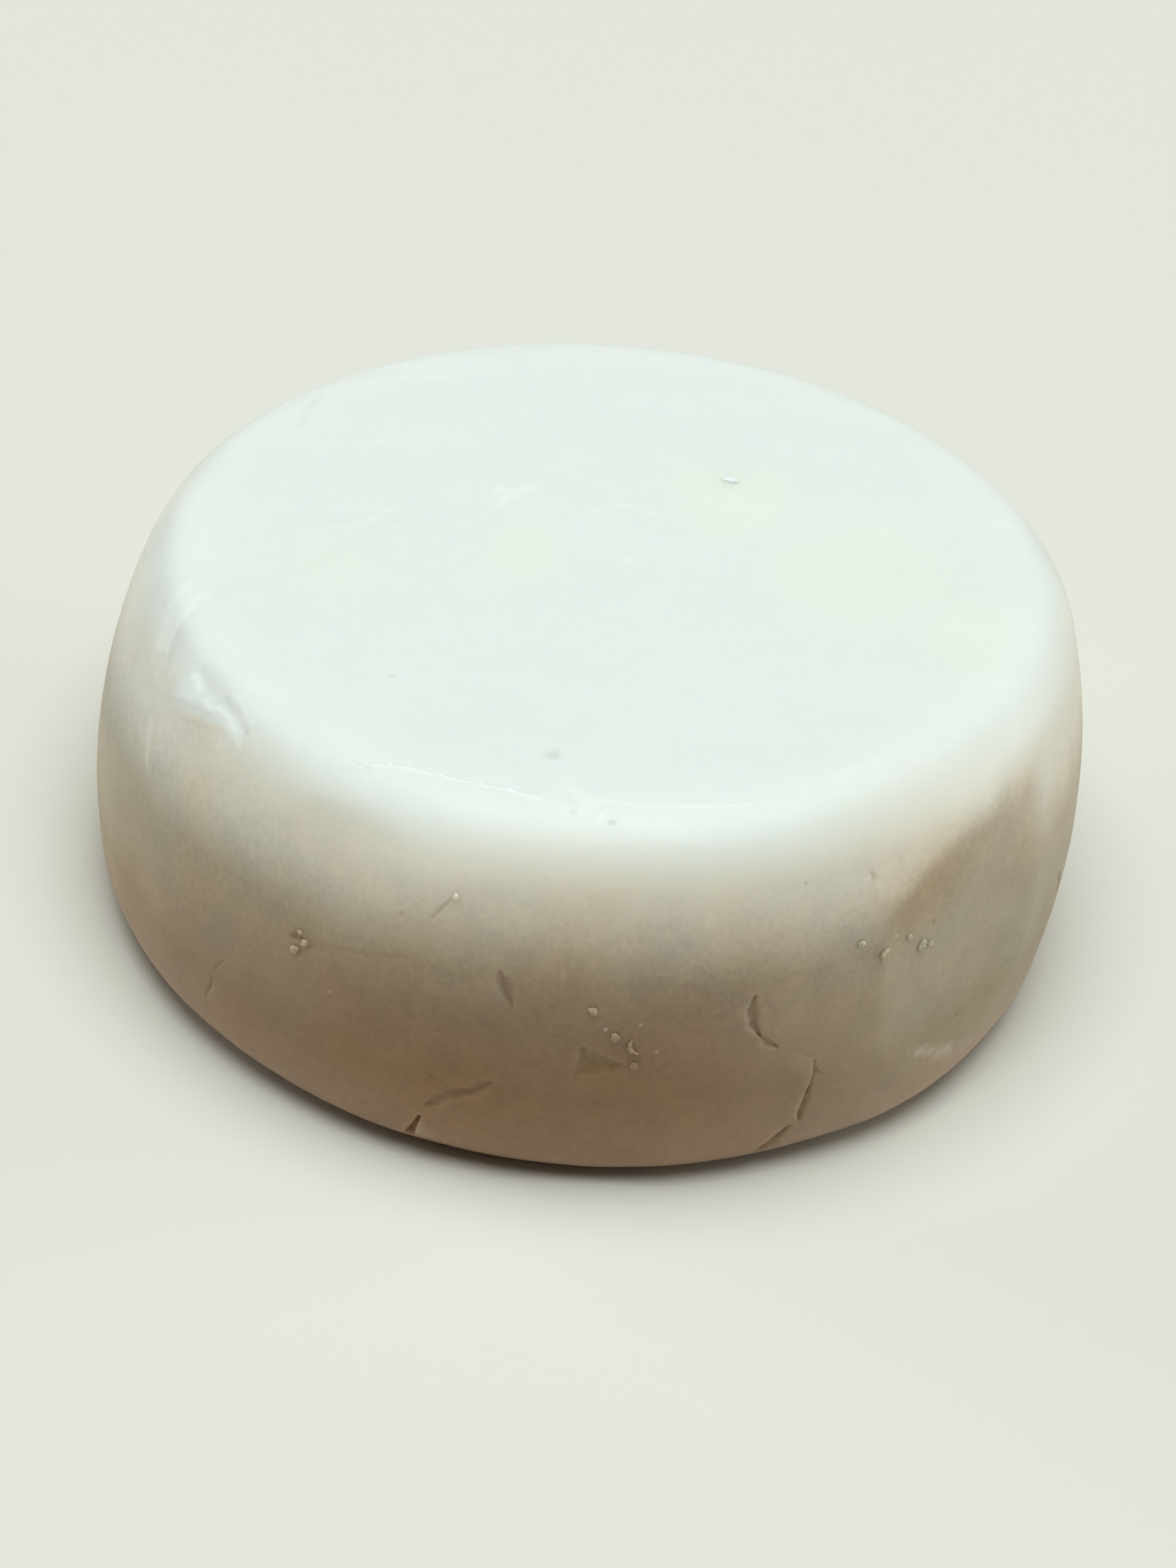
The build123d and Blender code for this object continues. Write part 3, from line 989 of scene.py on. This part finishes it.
class SOAP_OT_make_crumbs(bpy.types.Operator):
    """Makes the crumbs that cling to the puck"""

    bl_idname = "soap.make_crumbs"
    bl_label = "Crumbs"

    def execute(self, context):
        body = bpy.data.objects.get("pressed_soap_body")
        if body is None:
            raise RuntimeError("the puck has to be made before its crumbs")
        chance = random.Random(context.scene.soap_shape.seed)
        tree = BVHTree.FromObject(body, context.evaluated_depsgraph_get())
        cad = cad_surface(CAD_CRUMBS)
        crumbs = []
        for part in loose_parts(cad):
            middle = part_middle(part)
            radius = max((place - middle).length for place in part) * CRUMB_SHARE
            place, outwards = tree.find_nearest(middle)[:2]
            crumbs.append(crumb(place, outwards, radius, chance))
        cad.free()
        whole = join(crumbs)
        points = coordinates(whole)
        share_of_height = heights(points, puck_tree())
        # the crumbs take the same painted shade and painted light as the wall around them
        level = share_of_height + wander_of_level(points)
        painted_light_and_shade, painted_warmth = painted_light_values(points, share_of_height)
        values = {"hollow": np.zeros(len(points)), "pale": np.where(share_of_height > 1, 1.0, 0.08),
                  "stain": np.zeros(len(points)), "level": level, "painted_light_and_shade": painted_light_and_shade, "painted_warmth": painted_warmth,
                  "gloss": np.zeros(len(points))}
        material = pressed_soap("crumbled_shaving_soap", context.scene.soap_finish, 0.3)
        add_piece("soap_crumbs", whole, values, material, "clinging_crumbs")
        return {"FINISHED"}


class SOAP_OT_make_stage(bpy.types.Operator):
    """Makes the floor, the lights and the camera"""

    bl_idname = "soap.make_stage"
    bl_label = "Stage"

    def execute(self, context):
        stage = context.scene.soap_stage
        add_floor(stage)
        for light in LIGHTS:
            add_light(*light)
        context.scene.world = pale_room(stage.floor)
        context.scene.view_settings.view_transform = "Standard"
        add_camera(stage, Vector(CAMERA_TARGET))
        return {"FINISHED"}


def add_floor(stage):
    """A pale floor, a hair below the resting face."""
    surface = bmesh.new()
    bmesh.ops.create_circle(surface, cap_ends=True, segments=96, radius=FLOOR_RADIUS)
    bmesh.ops.translate(surface, verts=surface.verts, vec=(0, 0, -FLOOR_GAP))
    mesh = bpy.data.meshes.new("floor")
    surface.to_mesh(mesh)
    surface.free()
    mesh.materials.append(matt_board(stage.floor))
    floor = bpy.data.objects.new("floor", mesh)
    bpy.context.scene.collection.objects.link(floor)


def add_light(name, direction, elevation, softness, strength, tint):
    """An even light from far off. Softness is how wide its source looks, and every angle is in degrees."""
    lamp = bpy.data.lights.new(name, "SUN")
    lamp.angle = math.radians(softness)
    lamp.energy = strength
    lamp.color = linear(tint)
    light = bpy.data.objects.new(name, lamp)
    direction, elevation = math.radians(direction), math.radians(elevation)
    level = math.cos(elevation)
    source = Vector((math.cos(direction) * level, math.sin(direction) * level, math.sin(elevation)))
    light.rotation_euler = source.to_track_quat("Z", "Y").to_euler()
    bpy.context.scene.collection.objects.link(light)


def pale_room(board):
    """A room whose walls look as pale as the floor, but light the soap only faintly."""
    world = bpy.data.worlds.new("pale_room")
    world.use_nodes = True
    tree = world.node_tree
    tree.nodes.clear()
    seen = add_node(tree, "ShaderNodeLightPath").outputs["Is Camera Ray"]
    strength = add_node(tree, "ShaderNodeMath", MULTIPLY_ADD, {0: seen, 1: 1.05, 2: 0.05}).outputs[0]
    room = add_node(tree, "ShaderNodeBackground", None, {"Color": colour(board), "Strength": strength})
    add_node(tree, "ShaderNodeOutputWorld", None, {"Surface": room.outputs[0]})
    return world


def add_camera(stage, target):
    """The camera, in front of the puck and above it, turned a little about its line of sight."""
    camera = bpy.data.objects.new("camera", bpy.data.cameras.new("camera"))
    camera.data.lens = stage.lens
    camera.data.clip_start = 0.01
    forward = Vector((0, math.cos(stage.elevation), -math.sin(stage.elevation)))
    upright = forward.to_track_quat("-Z", "Y").to_matrix()
    turned = upright @ Matrix.Rotation(stage.roll, 3, "Z")
    camera.matrix_world = Matrix.Translation(target - forward * stage.distance) @ turned.to_4x4()
    bpy.context.scene.collection.objects.link(camera)
    bpy.context.scene.camera = camera


class SOAP_PT_panel(bpy.types.Panel):
    """Lists the soap's settings and its operators"""

    bl_idname = "SOAP_PT_panel"
    bl_label = "Shaving soap puck"
    bl_space_type = "VIEW_3D"
    bl_region_type = "UI"
    bl_category = "Soap"

    def draw(self, context):
        for group in (context.scene.soap_shape, context.scene.soap_finish, context.scene.soap_stage):
            box = self.layout.box()
            for name in group.__annotations__:
                box.prop(group, name)
        for operator in OPERATORS:
            self.layout.operator(operator.bl_idname)


GROUPS = {"soap_shape": SoapShape, "soap_finish": SoapFinish, "soap_stage": SoapStage}
OPERATORS = (SOAP_OT_make_puck, SOAP_OT_make_crumbs, SOAP_OT_make_stage)
CLASSES = (*GROUPS.values(), *OPERATORS, SOAP_PT_panel)


def register():
    for item in CLASSES:
        bpy.utils.register_class(item)
    for name, group in GROUPS.items():
        setattr(bpy.types.Scene, name, bpy.props.PointerProperty(type=group))


def unregister():
    for name in GROUPS:
        delattr(bpy.types.Scene, name)
    for item in reversed(CLASSES):
        bpy.utils.unregister_class(item)


def main():
    """Registers the add-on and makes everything."""
    register()
    bpy.ops.soap.make_puck()
    bpy.ops.soap.make_crumbs()
    bpy.ops.soap.make_stage()


if __name__ == "__main__":
    main()
